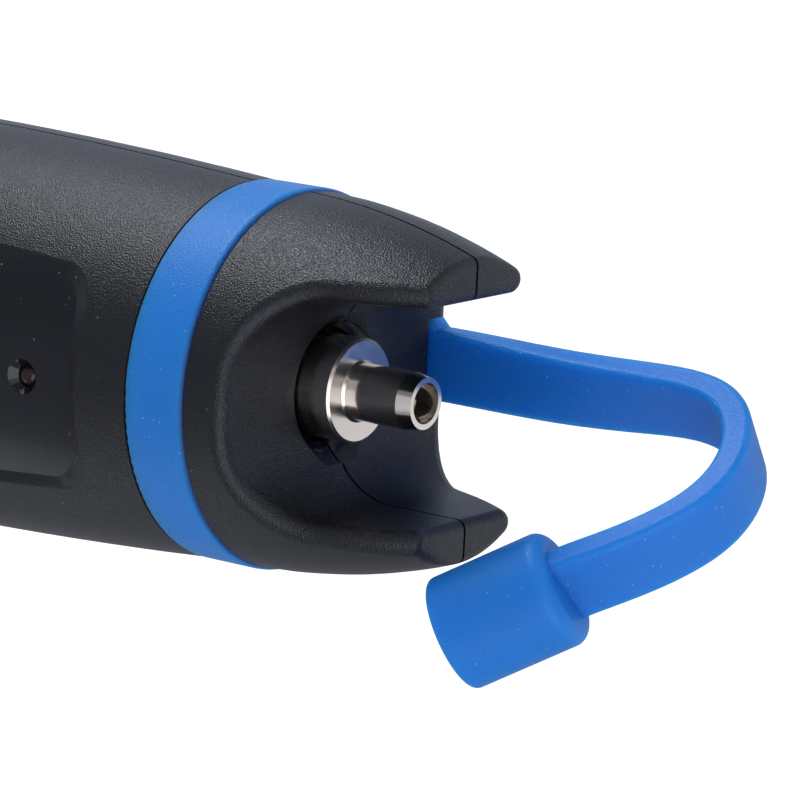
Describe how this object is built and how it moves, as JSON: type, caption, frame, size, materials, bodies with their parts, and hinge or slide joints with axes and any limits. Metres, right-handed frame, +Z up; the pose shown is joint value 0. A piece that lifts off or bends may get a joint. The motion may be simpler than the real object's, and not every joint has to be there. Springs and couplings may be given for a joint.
{
  "type": "visual fault locator",
  "caption": "Hand-held visual fault locator: round black two-part body with a scooped fork nose, a polished ferrule port and a blue strap that carries the dust cap.",
  "frame": {"origin": "middle of the flat tail face, on the table the instrument stands on", "axes": "+Z runs up the body axis and out of the port, -Y is the side of the panel with the light and the button, +X and -X are the two prongs of the fork, with the hanging cap on the +X side"},
  "size_m": [0.0373, 0.034, 0.171],
  "materials": {
    "black_abs": "moulded ABS with a fine spark-eroded grain, satin",
    "blue_silicone": "matte moulded silicone rubber",
    "polished_nickel": "turned and polished nickel plate",
    "phosphor_bronze": "spring bronze, drawn finish",
    "black_anodised": "turned aluminium, black anodised",
    "optical_glass": "polished and clear",
    "gilt_metal": "gold-plated metal can",
    "green_board": "glass-fibre board with green solder mask",
    "white_lamp": "moulded white lamp body with a clear top",
    "red_acrylic": "clear red moulded acrylic, unlit",
    "black_nylon": "moulded nylon",
    "blue_button": "matte moulded silicone rubber",
    "black_epoxy": "moulded epoxy",
    "ferrite": "sintered ferrite block, dull",
    "cell_wrap": "plain plastic sleeve over a steel can",
    "nickel_strip": "nickel-plated spring strip",
    "zinc_steel": "zinc-plated steel"
  },
  "bodies": {
    "body": {"front_shell": "black_abs", "rear_shell": "black_abs", "tether": "blue_silicone", "port_sleeve": "polished_nickel", "split_sleeve": "phosphor_bronze", "laser_barrel": "black_anodised", "lens_ring": "black_anodised", "focusing_lens": "optical_glass", "laser_diode": "gilt_metal", "diode_ring": "black_anodised", "circuit_board": "green_board", "status_led": "white_lamp", "light_pipe": "red_acrylic", "tact_switch": "black_nylon", "driver_chip": "black_epoxy", "boost_inductor": "ferrite", "battery_1": "cell_wrap", "battery_2": "cell_wrap", "bridge_contact": "nickel_strip", "positive_contact": "nickel_strip", "negative_leaf": "nickel_strip", "shell_screws": "zinc_steel", "board_screws": "zinc_steel"},
    "button": {"mode_button": "blue_button", "switch_plunger": "black_nylon"},
    "door": {"battery_door": "black_abs"}
  },
  "joints": [
    {"name": "button_press", "type": "slide", "parent": "body", "child": "button", "axis": [0, 1, 0], "range_m": [0, 0.0005], "stiffness_N_per_m": 3000, "springref_m": -0.0002},
    {"name": "door_pull", "type": "slide", "parent": "body", "child": "door", "axis": [0, 1, 0], "range_m": [0, 0.012]}
  ]
}
